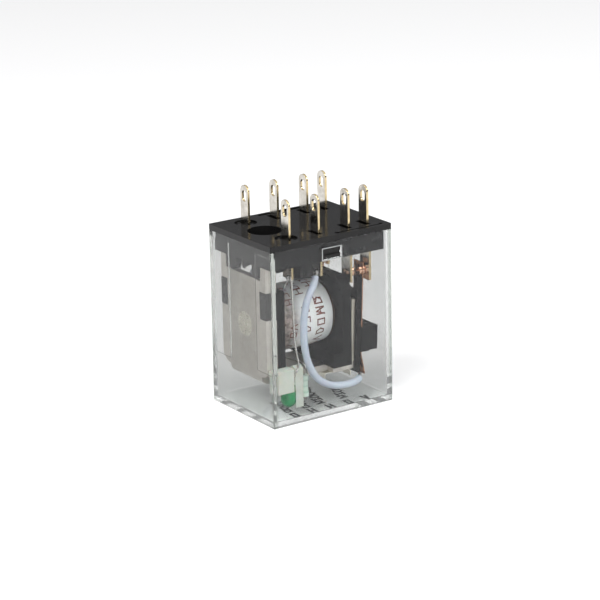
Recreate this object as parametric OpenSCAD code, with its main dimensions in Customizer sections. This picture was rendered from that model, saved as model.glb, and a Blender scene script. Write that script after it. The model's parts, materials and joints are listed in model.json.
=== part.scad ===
// Miniature plug-in relay with eight blades, a clear cover and a lamp.
// It stands on the closed face of its cover, blades up.
// Origin: centre of the closed face. +Z towards the blades, X along the long side.
// The cover reaches up from z = 0. All other pieces hang from the terminal face (the deck),
// so their places are given as depths below it.

/* [Case] */
// Length of the case along X
body_l = 28; // [27.8:0.1:40]
// Width of the case along Y
body_w = 21.5; // [21.4:0.1:32]
// Height of the case without the blades
body_h = 36; // [36:0.5:48]
// Radius of the case's upright corners
corner_r = 0.2; // [0.1:0.1:1.5]
// Wall of the clear cover
cover_wall = 1; // [0.7:0.05:1]
// Thickness of the cover's closed face
cover_floor = 1.2; // [0.8:0.1:1.8]
// How far the locating pads stand in from the cover's coil end wall
pad_t = 0.3; // [0.1:0.05:0.35]
// Width of the channel between the locating pads
pad_gap = 9.3; // [7:0.1:12]
// Length of each snap window
window_l = 4.3; // [3:0.1:6]
// Height of each snap window
window_h = 2.2; // [1.5:0.1:2.6]
// Depth of the snap windows' middle below the deck
window_depth = 3.5; // [3:0.1:3.8]

/* [Base] */
// Thickness of the base's flange
flange_t = 1.15; // [0.8:0.05:1.6]
// Depth of the skirt's lower edge
skirt_depth = 5; // [4.8:0.1:6]
// Gap between the skirt and the cover
skirt_gap = 0.1; // [0.05:0.05:0.3]
// Radius of the round well in the deck
well_r = 3.35; // [2:0.05:4]
// Depth of the round well
well_depth = 2.6; // [1:0.1:4]
// Depth of the two grooves along the deck's long edges
groove_depth = 0.6; // [0.3:0.05:0.8]
// Distance of the grooves' middle from the case's sides
groove_in = 0.95; // [0.8:0.05:1]
// Depth of the pockets round the contact blades' feet
pocket_depth = 0.5; // [0.3:0.05:0.8]
// Radius of the ring sunk round each coil blade
ring_r = 2.2; // [1.8:0.1:2.6]
// Depth of those rings
ring_depth = 0.4; // [0.2:0.05:0.8]

/* [Terminals] */
// Width of a blade
blade_w = 2.6; // [2:0.1:3.2]
// Thickness of a blade
blade_t = 0.5; // [0.4:0.05:0.6]
// Height of the blades above the deck
blade_h = 7.5; // [5:0.1:9]
// Width of the eye in a blade
eye_w = 1.4; // [0.8:0.1:1.5]
// Length of the eye in a blade
eye_l = 2.2; // [1.6:0.1:3]
// Width of a terminal's tail inside the case
tail_w = 3; // [2.6:0.1:3.6]
// Distance of the two blade rows from the middle
row_y = 6.95; // [6.6:0.05:7]
// Place of the coil blades along X
coil_x = -7.9; // [-8.5:0.1:-7.5]
// Place of the common blades along X
com_x = -1.2; // [-1.6:0.1:-0.8]
// Place of the normally open blades along X
no_x = 5.75; // [5.5:0.05:5.9]
// Place of the normally closed blades along X
nc_x = 10.15; // [10.1:0.05:10.6]
// Depth of the coil terminals' tails
coil_tail = 7.8; // [6:0.1:8]
// Depth of the common terminals' tails
com_tail = 8.3; // [7:0.1:9]
// Depth of the normally open terminals' tails
no_tail = 10.9; // [10.3:0.1:11.2]
// Depth of the normally closed terminals' tails
nc_tail = 11.2; // [10.3:0.1:12]

/* [Contacts] */
// Radius of the contact heads
contact_r = 1.1; // [0.8:0.05:1.3]
// Depth of the contacts' middle
contact_depth = 9; // [8.7:0.1:9.2]
// Height of a normally open contact's head
no_head = 0.95; // [0.6:0.05:1.2]
// Height of a normally closed contact's head
nc_head = 0.6; // [0.4:0.05:0.7]
// Gap left where two contacts touch
touch_gap = 0.04; // [0.02:0.01:0.06]

/* [Coil] */
// Depth of the coil's axis
coil_depth = 17.7; // [17.5:0.1:18.2]
// Radius of the core
core_r = 2.4; // [1.8:0.1:2.8]
// Radius of the pole at the core's end
pole_r = 4; // [3:0.1:5]
// Height of the pole
pole_t = 1.2; // [0.8:0.1:1.5]
// Wall of the bobbin's hub
hub_wall = 0.7; // [0.5:0.1:1]
// Radius of the winding
winding_r = 5.9; // [4.5:0.1:6.3]
// Thickness of the coil tape
tape_t = 0.2; // [0.1:0.05:0.3]
// How far the taped coil bulges at its middle
tape_bulge = 0.4; // [0.1:0.05:0.6]
// Inner face of the coil end flange, along X
coil_from = -9.3; // [-9.6:0.1:-9]
// Inner face of the armature end flange, along X
coil_to = 3.5; // [3:0.1:3.7]
// Thickness of the armature end flange
front_flange_t = 2; // [1.6:0.1:2.1]

/* [Yoke] */
// Thickness of the yoke
yoke_t = 1.4; // [1.1:0.05:1.5]
// Width of the yoke's plate
yoke_w = 15.4; // [14:0.1:16]
// Width of the yoke's leg between plate and tip
leg_w = 10.8; // [9:0.1:11]
// Width of the leg's tip
tip_w = 14.4; // [13:0.1:15]
// Outer face of the yoke's plate, along X
yoke_x = -12.55; // [-12.6:0.05:-12.4]
// End of the leg's tip, along X
tip_x = 6.9; // [6.5:0.05:7]
// Depth of the leg's upper face
leg_depth = 27.4; // [27.2:0.05:27.6]

/* [Armature] */
// Thickness of the armature
armature_t = 0.9; // [0.8:0.05:1]
// Width of the armature
armature_w = 15; // [13:0.1:16]
// Depth of the armature's upper edge
armature_depth = 14.6; // [14:0.1:16]
// Gap between the armature and the leg's tip
hinge_gap = 0.1; // [0.05:0.01:0.15]
// Gap between the pole and the closed armature, held by the shim
pole_gap = 0.1; // [0.06:0.01:0.15]
// How far the armature opens, in degrees
open_angle = 2.4; // [1.8:0.1:2.6]
// Width of the moving block
block_w = 16; // [15:0.1:16.6]
// Thickness of the block's card
card_t = 1.1; // [0.9:0.05:1.2]
// Depth of the card's upper edge between its posts
card_depth = 13; // [12.5:0.1:14]
// Depth of the top of the card's posts
post_depth = 10.2; // [10.1:0.1:11]
// Depth of the card's lower edge
card_foot_depth = 29.5; // [29:0.1:30]
// Reach of the block's clamp beyond the card
clamp_reach = 4; // [2.5:0.1:4.3]
// Depth of the clamp's upper face
clamp_depth = 20.4; // [20:0.1:21]
// Height of the clamp
clamp_h = 5; // [4:0.1:5.5]
// Thickness of the contact springs
spring_t = 0.2; // [0.15:0.01:0.25]
// Width of the contact springs
spring_w = 3; // [2.4:0.1:3.4]

/* [Lead wires] */
// Diameter of the lead wires
lead_d = 1.3; // [0.8:0.05:1.35]
// Diameter of the bare leads of lamp and resistor
bare_d = 0.45; // [0.3:0.05:0.6]
// Diameter of the coil's own leads
fine_d = 0.25; // [0.15:0.05:0.35]

/* [Lamp] */
// Radius of the lamp
lamp_r = 1.5; // [1:0.1:1.6]
// Place of the lamp along X
lamp_x = -8.9; // [-9:0.1:-8.8]
// Place of the lamp along Y
lamp_y = -7.75; // [-7.9:0.05:-7.6]
// Depth of the lamp's tip
lamp_tip_depth = 33.2; // [32.5:0.1:33.6]
// Depth of the lamp's seat end
lamp_seat_depth = 28.5; // [28.2:0.1:29]
// Radius of the resistor
resistor_r = 0.85; // [0.5:0.05:0.9]
// Length of the resistor
resistor_l = 4.2; // [2.5:0.1:4.6]

/* [Hidden] */
$fn = 48;
slip = 0.02;                         // how far a cut runs past a face
near = -1;                           // side a, towards -Y
far = 1;                             // side b, towards +Y

black = "#17181a";
brass = "#c9b27c";
copper = "#b4673a";
steel = "#b9b6ab";

cavity_l = body_l - 2 * cover_wall;
cavity_w = body_w - 2 * cover_wall;
skirt_l = cavity_l - 2 * pad_t - 2 * skirt_gap;
skirt_w = cavity_w - 2 * skirt_gap;
blade_shoulder = 1.6;                // depth where a blade widens to its tail
eye_drop = 2.15;                     // from a blade's tip to the middle of its eye
near_groove = [1.9, 12.3];           // reach of the deck's grooves along X
far_groove = [-3.2, 7];
well_x = -8.1;
well_wall = 0.7;
well_floor = 0.5;
well_foot = 7.4;                     // depth of the lower edge of the well's wall
block_y = 6.6;                       // blocks under the deck beside the common terminals
block_foot = 7.6;
lug_play = 0.15;                     // gap round a snap lug in its window
lug_back = 0.15;                     // how far a lug stays inside the cover's outer face
base_leg_y = 4.1;
base_leg_w = 2.6;
ear_in = 5.9;                        // inner edge of the yoke's ears
ear_depth = 4;
yoke_top_depth = 7.7;
tab_top = 9.9;                       // depths of the notches for the bobbin's tabs
tab_foot = 15.3;
tab_in = 5.6;

front_face = coil_to + front_flange_t;
flange_w = 17.2;
flange_top = 9.6;                    // depth of the armature end flange's upper edge
flange_cut = 1.95;                   // chamfer on its upper corners
back_flange_w = 15.2;
back_flange_top = 10;
back_flange_foot = 25.1;
foot_depth = leg_depth - 0.02;
foot_from = 1.2;
foot_h = 2.9;
yoke_in = yoke_x + yoke_t;
bend_r = yoke_t + 0.2;                // outer radius of the yoke's bend
pole_face = front_face + 0.3;
tape_from = coil_from + 0.8;
tape_to = coil_to - 0.6;

// The armature's own sizes are for the closed position; at_rest() opens it.
armature_x = pole_face + pole_gap;
hinge_x = armature_x + armature_t / 2;
hinge_depth = leg_depth - hinge_gap - armature_t / 2;
card_x = armature_x + armature_t;
spring_x = card_x + card_t;
card_foot_x = tip_x + 0.3;
spring_top = 7.3;
tail_bend = 25.6;                    // depth where a spring's tail starts to flare
tail_end = 30;
tail_flare = 1;
spring_y = 6.6;                      // middle of a contact spring across the case
no_face = no_x + blade_t / 2;
nc_face = nc_x - blade_t / 2;
contact_back_r = 0.58;               // radius of a fixed contact's upset end
arm = hinge_depth - contact_depth;
rest_nc_tip = nc_face - nc_head - touch_gap;
closed_nc_tip = (rest_nc_tip - hinge_x - arm * sin(open_angle)) / cos(open_angle) + hinge_x;
moving_nc_head = closed_nc_tip - spring_x - spring_t;
moving_no_head = spring_x - no_face - no_head - touch_gap;
rivet_y = 4.5;
rivet_depth = 17;
rivet_r = 0.9;
rivet_in = 0.05;                     // how far a rivet's end sits below the armature's face
rivet_short = 0.15;                  // and how far the other end stays inside the block
tail_foot_x = spring_x + spring_t / 2 + tail_flare;
holder_front = -9.6;                 // lamp holder: its faces along Y, depths and post
holder_back = lamp_y + lamp_r + 0.3;
holder_split = -8.75;
holder_top = 25.15;
holder_foot = 29.7;
post_from = -8.2;
post_to = -6.4;
post_top = 24.9;
post_r = 0.95;
post_foot = 33.2;
post_back = -7.4;
rail_top = 27.8;                     // depth of the rail behind the post
lamp_lead_x = -8.475;                // between the holder's block and its post
solder_gap = 0.03;                   // what keeps a lead's end clear of the face it meets
bead_r = 0.62;                       // radius of a solder bead
resistor_x = -4.9;
resistor_y = -7.3;
resistor_depth = 29.8;

// Routes, x and depth below the deck; y is for the far side and is mirrored for the near one.
lead_route = [[-2.55, 8.1, 8.2], [-2.9, 8.45, 8.9], [-3.55, 8.8, 9.8], [-4.5, 9, 11.1], [-5.3, 9, 13],
    [-5.8, 9, 15.5], [-5.95, 9, 18], [-5.85, 9, 21], [-5.4, 9, 23.6], [-4.6, 9, 25.8], [-3.4, 9, 27.8],
    [-1.8, 9, 29.3], [0.1, 9, 30.3], [2, 9, 30.8], [4, 8.95, 31], [5.6, 8.75, 31], [6.9, 8.3, 30.95],
    [7.7, 7.75, 30.9]];
lamp_route = [[-7.95, 8.1, coil_tail + solder_gap], [-7.85, 8.15, 11], [-7.7, 8.2, 16], [-7.55, 8.35, 20.5],
    [-7.45, 8.8, 23], [-7.5, 9.25, 24.3], [-7.75, 9.42, 25.2], [-8.25, 9.42, 25.9],
    [lamp_lead_x, 9.3, 26.6], [lamp_lead_x, 8.85, 27.2], [lamp_lead_x, 8.45, 27.6],
    [lamp_lead_x, 8.35, 28], [lamp_lead_x, 8.35, lamp_seat_depth - solder_gap]];
link_route = [[lamp_lead_x, 7.15, lamp_seat_depth - solder_gap], [lamp_lead_x, 7.12, 27.5], [-8.2, 6.95, 26.7],
    [-7, 6.8, 26.3], [-5.9, 6.95, 26.25], [-5.1, 7.25, 26.5], [resistor_x, 7.3, 27.2],
    [resistor_x, 7.3, resistor_depth - resistor_l / 2 - solder_gap]];
return_route = [[resistor_x, -7.3, resistor_depth + resistor_l / 2 + solder_gap], [-4.8, -7.2, 32.45],
    [-4.35, -6.85, 32.75], [-3.85, -6.6, 32.3], [-3.7, -6.6, 30.5], [-3.75, -6.55, 28], [-3.9, -6.1, 26.4],
    [-4.2, -5, 25.9], [-5, 0, 25.9], [-5.8, 5, 25.9], [-6.4, 7.6, 25.4], [-7.1, 8.5, 23.5],
    [-7.9, 8.75, 19], [-8.2, 8.6, 13], [-7.95, 8.1, coil_tail + solder_gap]];
coil_lead_route = [[-8.15, 7.4, coil_tail + solder_gap], [-8.6, 7.3, 8.6], [-9, 6.8, 10], [-9.05, 5.8, 12],
    [coil_from + 0.35, 4.55, coil_depth - winding_r + 1.9]];

// ---------- shapes that repeat ----------

// a block given by its corners
module slab(x, y, z) {
    translate([x[0], y[0], z[0]]) cube([x[1] - x[0], y[1] - y[0], z[1] - z[0]]);
}

// the same, with depths below the deck, shallow one first
module hung(x, y, depth) {
    slab(x, y, [body_h - depth[1], body_h - depth[0]]);
}

// an upright box centred on the origin with round corners
module round_box(l, w, h, r) {
    linear_extrude(h) union() {
        square([l - 2 * r, w], center = true);
        square([l, w - 2 * r], center = true);
        for (i = [-1, 1], j = [-1, 1]) translate([i * (l / 2 - r), j * (w / 2 - r)]) circle(r);
    }
}

// a cylinder along +X from x0 to x1
module rod_x(x0, x1, r) {
    translate([x0, 0, 0]) rotate([0, 90, 0]) cylinder(h = x1 - x0, r = r);
}

// a contact's profile, turned round X: outer head, shank and inner head, each head with a coned face
module rivet_x(back, shank_l, front, back_r, front_r) {
    cone = 0.3;                      // share of a head's height that is coned
    face = 0.3;                      // radius of a head's flat face as a share of its radius
    rotate([0, 90, 0]) rotate_extrude() polygon([
        [0, -back], [back_r * face, -back], [back_r, -back * (1 - cone)], [back_r, 0],
        [contact_r / 2, 0], [contact_r / 2, shank_l], [front_r, shank_l],
        [front_r, shank_l + front * (1 - cone)], [front_r * face, shank_l + front], [0, shank_l + front]]);
}

// turns the closed armature group to its open, resting place
module at_rest() {
    translate([hinge_x, 0, body_h - hinge_depth]) rotate([0, open_angle, 0])
        translate([-hinge_x, 0, hinge_depth - body_h]) children();
}

function spline(p, t, a, b, c, d) = 0.5 * (2 * p[b] + t * (p[c] - p[a])
    + t * t * (2 * p[a] - 5 * p[b] + 4 * p[c] - p[d]) + t * t * t * (3 * p[b] - p[a] - 3 * p[c] + p[d]));
function smooth_route(p, n) = let (last = len(p) - 1) concat(
    [for (i = [0 : last - 1], k = [0 : n - 1])
        spline(p, k / n, max(i - 1, 0), i, i + 1, min(i + 2, last))], [p[last]]);
function unit(v) = v / norm(v);
function span(mid, width) = [mid - width / 2, mid + width / 2];
// the part of a symmetric piece between inner and outer distance on one side
function flank(side, inner, outer) = side > 0 ? [inner, outer] : [-outer, -inner];
function place(p, side) = [p[0], side * p[1], body_h - p[2]];

// a round wire swept along points; ref is a direction it never runs along
module wire(points, r, ref, sides = 10) {
    p = smooth_route(points, 2);
    last = len(p) - 1;
    ring = [for (i = [0 : last]) let (
            t = unit(p[min(i + 1, last)] - p[max(i - 1, 0)]),
            u = unit(cross(t, ref)), v = cross(t, u))
        for (k = [0 : sides - 1]) p[i] + r * (cos(360 * k / sides) * u + sin(360 * k / sides) * v)];
    wall = [for (i = [0 : last - 1], k = [0 : sides - 1]) let (n = (k + 1) % sides)
        [i * sides + k, (i + 1) * sides + k, (i + 1) * sides + n, i * sides + n]];
    polyhedron(ring, concat(wall, [[for (k = [0 : sides - 1]) k]],
        [[for (k = [sides - 1 : -1 : 0]) last * sides + k]]));
}

// one terminal: blade with an eye above the deck, wider tail below
module terminal(x, side, tail) {
    tip_r = blade_w / 2;
    translate([x, side * row_y, body_h]) rotate([90, 0, 90]) translate([0, 0, -blade_t / 2])
        linear_extrude(blade_t) difference() {
            union() {
                translate([-blade_w / 2, -blade_shoulder]) square([blade_w, blade_shoulder + blade_h - tip_r]);
                translate([0, blade_h - tip_r]) circle(tip_r);
                translate([-tail_w / 2, -tail]) square([tail_w, tail - blade_shoulder]);
            }
            for (y = [-1, 1]) translate([0, blade_h - eye_drop + y * (eye_l - eye_w) / 2]) circle(eye_w / 2);
            translate([-eye_w / 2, blade_h - eye_drop - (eye_l - eye_w) / 2]) square([eye_w, eye_l - eye_w]);
        }
}

// the hole of a fixed contact's shank through its terminal
module shank(x) {
    translate([x, 0, 0]) rod_x(-blade_t, blade_t, contact_r / 2);
}

module contact_terminal(x, side, tail) {
    difference() {
        terminal(x, side, tail);
        translate([0, side * row_y, body_h - contact_depth]) shank(x);
    }
}

// a fixed contact: head, shank and the upset end behind the terminal
module fixed_contact(x, side, head, way) {
    translate([x, side * row_y, body_h - contact_depth]) rotate([0, 0, way > 0 ? 0 : 180])
        translate([-blade_t / 2, 0, 0]) rivet_x(0.35, blade_t, head, contact_back_r, contact_r);
}

// ---------- case ----------

module window(side, play) {
    y0 = cavity_w / 2 - (play > 0 ? skirt_gap + slip : slip);
    y1 = body_w / 2 + (play > 0 ? -lug_back : slip);
    l = window_l - 2 * play;
    h = window_h - 2 * play;
    hung(span(0, l), flank(side, y0, y1), span(window_depth, h));
}

module cover() {
    pad_top = 2.6;                   // depths of the pads' ends
    pad_foot = 25.7;
    color("#dfe3e6", 0.3) difference() {
        union() {
            difference() {
                round_box(body_l, body_w, body_h - flange_t, corner_r);
                translate([0, 0, cover_floor]) round_box(cavity_l, cavity_w, body_h, corner_r / 2);
            }
            for (s = [-1, 1]) mirror([0, s < 0 ? 1 : 0, 0])
                slab([-cavity_l / 2 - slip, pad_t - cavity_l / 2], [pad_gap / 2, cavity_w / 2 + slip],
                    [body_h - pad_foot, body_h - pad_top]);
        }
        window(near, 0);
        window(far, 0);
    }
}

module terminal_slot(x, side) {
    past = 4;                        // how far the slot runs on below the skirt, through the blocks
    hung([x - blade_t / 2, x + blade_t / 2], span(side * row_y, blade_w), [-slip, blade_shoulder]);
    hung([x - blade_t / 2, x + blade_t / 2], span(side * row_y, tail_w),
        [blade_shoulder, skirt_depth + past]);
}

module base_leg(side) {
    r = base_leg_w / 2;
    play = 0.05;
    x0 = yoke_x + play;
    translate([x0, side * base_leg_y, body_h - yoke_top_depth + r]) rotate([0, 90, 0])
        cylinder(h = yoke_t, r = r - slip / 2);
    hung([x0, x0 + yoke_t], span(side * base_leg_y, base_leg_w), [skirt_depth - slip, yoke_top_depth - r]);
}

// what is sunk into the deck: well, long grooves, notch, rings and pockets
module deck_details() {
    near_w = 0.36;                   // widths of the two long grooves
    far_w = 0.85;
    end_r = 0.42;                    // round end of the near groove, set towards the blades
    end_in = 0.3;
    notch_r = 0.55;
    notch_depth = 0.9;
    pocket_l = 1.3;
    pocket_edge = 0.45;              // pocket beyond the blade's edges
    groove_y = groove_in - body_w / 2;
    translate([well_x, 0, body_h - well_depth]) cylinder(h = well_depth + slip, r = well_r);
    hung(near_groove, span(groove_y, near_w), [-slip, groove_depth]);
    translate([near_groove[1], groove_y + end_in, body_h - groove_depth])
        cylinder(h = groove_depth + slip, r = end_r);
    translate([near_groove[0], groove_y, body_h - notch_depth]) cylinder(h = notch_depth + slip, r = notch_r);
    hung(far_groove, span(-groove_y - 0.1, far_w), [-slip, groove_depth]);
    for (s = [near, far]) {
        translate([coil_x, s * row_y, body_h - ring_depth]) cylinder(h = ring_depth + slip, r = ring_r);
        for (x = [com_x, no_x, nc_x])
            hung(span(x - 0.15, pocket_l), span(s * row_y, blade_w + 2 * pocket_edge), [-slip, pocket_depth]);
    }
}

// what is sunk into the underside: the well's body and the room between the rows
module underside() {
    hollow_w = 6.4;
    hollow_end = 12;
    translate([well_x, 0, body_h - well_foot - slip])
        cylinder(h = well_foot - well_depth - well_floor + slip, r = well_r);
    hung([well_x + well_r + well_wall + 0.3, hollow_end], [-hollow_w / 2, hollow_w / 2],
        [well_depth + well_floor, skirt_depth + slip]);
}

module base() {
    block_l = 3.2;                   // blocks beside the common terminals
    block_w = 5;
    block_r = 0.8;
    block_x = -4.75;
    lug_groove = [0.7, 0.5];         // depth and height of the groove across each snap lug
    color(black) difference() {
        union() {
            translate([0, 0, body_h - flange_t]) round_box(body_l, body_w, flange_t, corner_r);
            translate([0, 0, body_h - skirt_depth])
                round_box(skirt_l, skirt_w, skirt_depth - flange_t + slip, corner_r / 2);
            window(near, lug_play);
            window(far, lug_play);
            for (s = [near, far]) {
                base_leg(s);
                translate([block_x, s * block_y, body_h - block_foot])
                    round_box(block_l, block_w, block_foot - skirt_depth + slip, block_r);
            }
            difference() {
                translate([well_x, 0, body_h - well_foot])
                    cylinder(h = well_foot - flange_t, r = well_r + well_wall);
                hung([-body_l, yoke_in + 0.2], [-body_w, body_w], [skirt_depth, well_foot + 1]);
            }
        }
        deck_details();
        underside();
        for (s = [near, far]) {
            // groove across each snap lug
            slab([-window_l / 2, window_l / 2], span(s * (body_w / 2 - lug_back), lug_groove[0]),
                span(body_h - window_depth, lug_groove[1]));
            for (x = [coil_x, com_x, no_x, nc_x]) terminal_slot(x, s);
            // slots for the yoke's ears
            hung([yoke_x, yoke_in], flank(s, ear_in, yoke_w / 2),
                [ear_depth, skirt_depth + slip]);
        }
    }
}

// ---------- terminals and fixed contacts ----------

module coil_terminal_a() { color(brass) terminal(coil_x, near, coil_tail); }
module coil_terminal_b() { color(brass) terminal(coil_x, far, coil_tail); }
module com_terminal_a() { color(brass) terminal(com_x, near, com_tail); }
module com_terminal_b() { color(brass) terminal(com_x, far, com_tail); }
module no_terminal_a() { color(brass) contact_terminal(no_x, near, no_tail); }
module no_terminal_b() { color(brass) contact_terminal(no_x, far, no_tail); }
module nc_terminal_a() { color(brass) contact_terminal(nc_x, near, nc_tail); }
module nc_terminal_b() { color(brass) contact_terminal(nc_x, far, nc_tail); }
module no_contact_a() { color(copper) fixed_contact(no_x, near, no_head, 1); }
module no_contact_b() { color(copper) fixed_contact(no_x, far, no_head, 1); }
module nc_contact_a() { color(copper) fixed_contact(nc_x, near, nc_head, -1); }
module nc_contact_b() { color(copper) fixed_contact(nc_x, far, nc_head, -1); }

// ---------- coil ----------

module on_coil_axis() {
    translate([0, 0, body_h - coil_depth]) children();
}

// armature end flange, chamfered at its upper corners, as a plate standing across X
module front_flange() {
    w = flange_w / 2;
    top = body_h - flange_top;
    translate([coil_to, 0, 0]) rotate([90, 0, 90]) linear_extrude(front_flange_t)
        polygon([[-w, body_h - foot_depth], [w, body_h - foot_depth], [w, top - flange_cut],
            [w - flange_cut, top], [flange_cut - w, top], [-w, top - flange_cut]]);
}

module bobbin() {
    hub_r = core_r + hub_wall;
    w = back_flange_w / 2;
    pole_seat = pole_t - 0.3;        // how deep the pole sits in the front flange
    color(black) difference() {
        union() {
            front_flange();
            hung([foot_from, front_face], [-flange_w / 2, flange_w / 2], [foot_depth - foot_h, foot_depth]);
            hung([yoke_in, coil_from], [-w, w], [back_flange_top, back_flange_foot]);
            on_coil_axis() rod_x(yoke_in, front_face, hub_r);
            for (s = [-1, 1]) hung([yoke_x, yoke_in + slip], flank(s, tab_in, yoke_w / 2),
                [tab_top, tab_foot]);
        }
        on_coil_axis() rod_x(yoke_x - slip, front_face + slip, core_r);
        on_coil_axis() rod_x(front_face - pole_seat, front_face + slip, pole_r);
        // the flange gives way to the tails of the normally open blades, which lie on it
        for (s = [near, far]) hung([no_x - blade_t / 2, no_x + front_flange_t], span(s * row_y, tail_w),
            [blade_shoulder, no_tail]);
        // round saddle of the foot, clear of the winding
        on_coil_axis() rod_x(coil_from, coil_to, winding_r + tape_t + tape_bulge + 0.1);
    }
    color(black) on_coil_axis() difference() {
        rod_x(coil_from - slip, coil_to + slip, hub_r);
        rod_x(coil_from - 1, coil_to + 1, core_r);
    }
}

module winding() {
    color(copper) on_coil_axis() difference() {
        rod_x(coil_from, coil_to, winding_r);
        rod_x(coil_from - 1, coil_to + 1, core_r + hub_wall);
    }
}

// a thin barrel round the winding
module coil_tape() {
    half = (tape_to - tape_from) / 2;
    bow = (half * half + tape_bulge * tape_bulge) / (2 * tape_bulge);
    color("#e9e2dc") on_coil_axis() translate([tape_from + half, 0, 0]) rotate([0, 90, 0]) difference() {
        rotate_extrude($fn = 96) intersection() {
            translate([winding_r, -half]) square([tape_bulge + tape_t, 2 * half]);
            translate([winding_r + tape_t + tape_bulge - bow, 0]) circle(bow, $fn = 240);
        }
        cylinder(h = 2 * half + 1, r = winding_r, center = true);
    }
}

module coil_leads() {
    color(copper) for (s = [near, far])
        wire([for (p = coil_lead_route) place(p, s)], fine_d / 2, [0, 0.3, 1], 8);
}

module core() {
    head_r = core_r + 0.1;           // riveted end behind the yoke, slightly domed
    head_t = 0.25;
    dome = 8.25;
    color(steel) on_coil_axis() {
        rod_x(yoke_x, pole_face - pole_t + slip, core_r);
        rod_x(pole_face - pole_t, pole_face, pole_r);
        intersection() {
            rod_x(yoke_x - head_t, yoke_x, head_r);
            translate([yoke_x + dome - head_t, 0, 0]) sphere(dome, $fn = 96);
        }
    }
}

// ---------- yoke and hinge spring ----------

// the yoke's plate as an outline across X: ears up, tab notches at the sides, narrow foot
module yoke_plate() {
    w = yoke_w / 2;
    n = leg_w / 2;
    r = 2;
    foot = -leg_depth - yoke_t + bend_r;
    low = 0.35 - leg_depth;          // lower edge of the wide part
    translate([yoke_x, 0, body_h]) rotate([90, 0, 90]) linear_extrude(yoke_t) difference() {
        union() {
            translate([-w, low + r]) square([2 * w, -yoke_top_depth - low - r]);
            translate([r - w, low]) square([2 * (w - r), r + slip]);
            translate([-n, foot]) square([2 * n, -foot - coil_depth]);
            for (s = [-1, 1]) {
                translate([s > 0 ? ear_in : -w, -yoke_top_depth - slip])
                    square([w - ear_in, yoke_top_depth + slip - ear_depth]);
                translate([s * (w - r), low + r]) circle(r);
            }
        }
        for (s = [-1, 1]) translate([s > 0 ? tab_in : -w - slip, -tab_foot])
            square([w - tab_in + slip, tab_foot - tab_top]);
        translate([0, -coil_depth]) circle(core_r);
    }
}

module yoke() {
    low = body_h - leg_depth - yoke_t;
    wide_from = 2;                   // where the leg widens
    color(steel) {
        yoke_plate();
        // bend between plate and leg
        translate([yoke_x + bend_r, 0, low + bend_r]) rotate([90, 0, 0]) difference() {
            translate([0, 0, -leg_w / 2]) intersection() {
                cylinder(h = leg_w, r = bend_r);
                translate([-bend_r, -bend_r, 0]) cube([bend_r, bend_r, leg_w]);
            }
            translate([0, 0, -leg_w / 2 - 1]) cylinder(h = leg_w + 2, r = bend_r - yoke_t);
        }
        slab([yoke_x + bend_r - slip, tip_x], [-leg_w / 2, leg_w / 2], [low, low + yoke_t]);
        slab([wide_from, tip_x], [-tip_w / 2, tip_w / 2], [low, low + yoke_t]);
    }
}

// formed strip under the leg that presses on the armature's foot
module hinge_spring() {
    t = 0.3;
    w = 12.6;
    from = 0.5;
    lip = 1.4;                       // height of the turned-down end
    nose = 1.6;                      // height of the end that meets the armature's foot
    slope = [0.7, 0.6];
    tip = tip_x - 0.05;
    top = body_h - leg_depth - yoke_t;
    color(steel) translate([0, 0, top]) rotate([90, 0, 0]) translate([0, 0, -w / 2]) linear_extrude(w)
        polygon([[from, 0], [tip - slope[0], 0], [tip, -slope[1]], [tip, -nose], [tip - t, -nose],
            [tip - t, -slope[1] - 0.4 * t], [tip - slope[0] - 0.4 * t, -t], [from + t, -t],
            [from + t, -lip], [from, -lip]]);
}

// ---------- armature group ----------

module armature() {
    color("#d8d3c4") at_rest() difference() {
        union() {
            hung([armature_x, armature_x + armature_t], [-armature_w / 2, armature_w / 2],
                [armature_depth, hinge_depth]);
            translate([hinge_x, 0, body_h - hinge_depth]) rotate([90, 0, 0])
                cylinder(h = armature_w, r = armature_t / 2, center = true);
        }
        for (s = [-1, 1]) translate([0, s * rivet_y, body_h - rivet_depth])
            rod_x(armature_x - 1, armature_x + 2, rivet_r);
    }
}

module residual_shim() {
    shim_r = 1.6;
    color(brass) at_rest() on_coil_axis() rod_x(armature_x - pole_gap + slip, armature_x, shim_r);
}

module armature_rivets() {
    color(steel) at_rest() for (s = [-1, 1]) translate([0, s * rivet_y, body_h - rivet_depth])
        rod_x(armature_x + rivet_in, card_x + card_t - rivet_short, rivet_r);
}

module moving_block() {
    w = block_w / 2;
    post_w = 1.35;
    step = 0.25;                     // the clamp's root stands out beyond the block's sides
    hollow_x = 0.8;                  // hollow behind the clamp, between the springs
    hollow_w = 7;
    color(black) at_rest() difference() {
        union() {
            hung([card_x, spring_x], [-w, w], [card_depth, hinge_depth]);
            hung([card_foot_x, spring_x], [-w, w], [hinge_depth - slip, card_foot_depth]);
            for (s = [-1, 1]) hung([card_x, spring_x], flank(s, w - post_w, w),
                [post_depth, card_depth + slip]);
            hung([spring_x - slip, spring_x + clamp_reach * 0.5], [-w - step, w + step],
                [clamp_depth, clamp_depth + clamp_h]);
            hung([spring_x, spring_x + clamp_reach], [-w, w],
                [clamp_depth + 0.1, clamp_depth + clamp_h - 0.1]);
        }
        for (s = [-1, 1]) {
            translate([0, s * rivet_y, body_h - rivet_depth])
                rod_x(card_x - 1, spring_x - rivet_short, rivet_r);
            // the springs pass through the clamp
            hung([spring_x, spring_x + spring_t], span(s * spring_y, spring_w),
                [clamp_depth - 1, clamp_depth + clamp_h + 1]);
        }
        hung([spring_x + hollow_x, spring_x + clamp_reach + 1], [-hollow_w / 2, hollow_w / 2],
            [clamp_depth + 1, clamp_depth + clamp_h - 1]);
    }
}

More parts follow.
